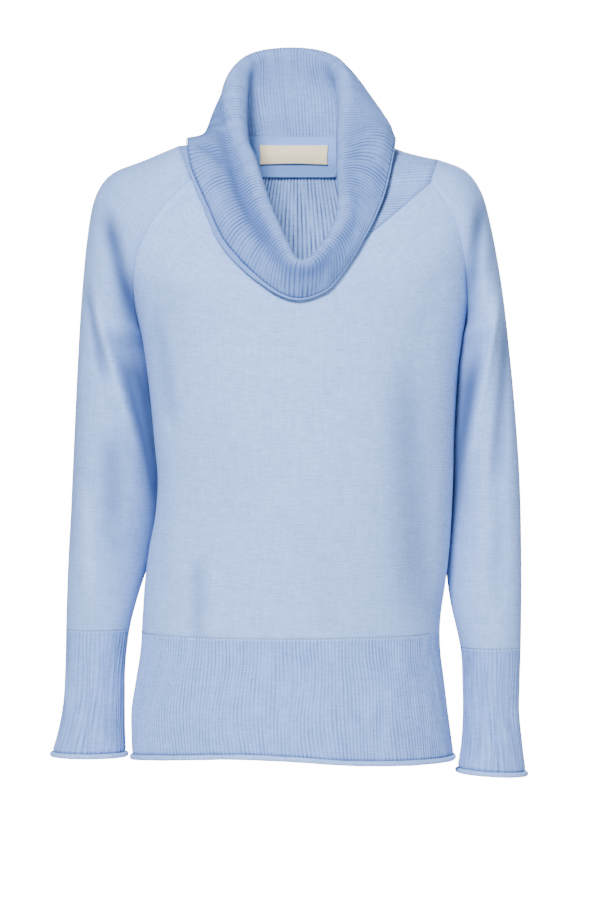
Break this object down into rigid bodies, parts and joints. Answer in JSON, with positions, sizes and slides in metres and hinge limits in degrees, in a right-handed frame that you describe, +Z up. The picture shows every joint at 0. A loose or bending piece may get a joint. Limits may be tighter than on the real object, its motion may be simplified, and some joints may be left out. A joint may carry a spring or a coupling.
{
  "type": "cowl neck sweater",
  "caption": "Light blue fine-knit raglan sweater with a big folded rib cowl, ribbed hem and cuffs, filled out as if worn.",
  "frame": {"origin": "middle of the neck, level with the tops of the shoulders, where the wearer holds the sweater up", "axes": "+Z up, -Y the front of the sweater, +X the wearer's left"},
  "size_m": [0.527, 0.2548, 0.8117],
  "materials": {
    "blue_jersey": "matt fine jersey with a soft nap",
    "blue_rib": "matt fine rib with a soft nap",
    "facing_jersey": "matt plain jersey",
    "label_cotton": "smooth woven cotton, blank"
  },
  "bodies": {
    "root": {"front_panel": "blue_jersey", "back_panel": "blue_jersey", "sleeve_left": "blue_jersey", "sleeve_right": "blue_jersey", "hem_roll": "blue_jersey", "collar_roll": "blue_jersey", "cuff_roll_left": "blue_jersey", "cuff_roll_right": "blue_jersey", "hem_rib": "blue_rib", "cuff_left": "blue_rib", "cuff_right": "blue_rib", "collar": "blue_rib", "neck_facing": "facing_jersey", "label": "label_cotton"}
  },
  "joints": []
}
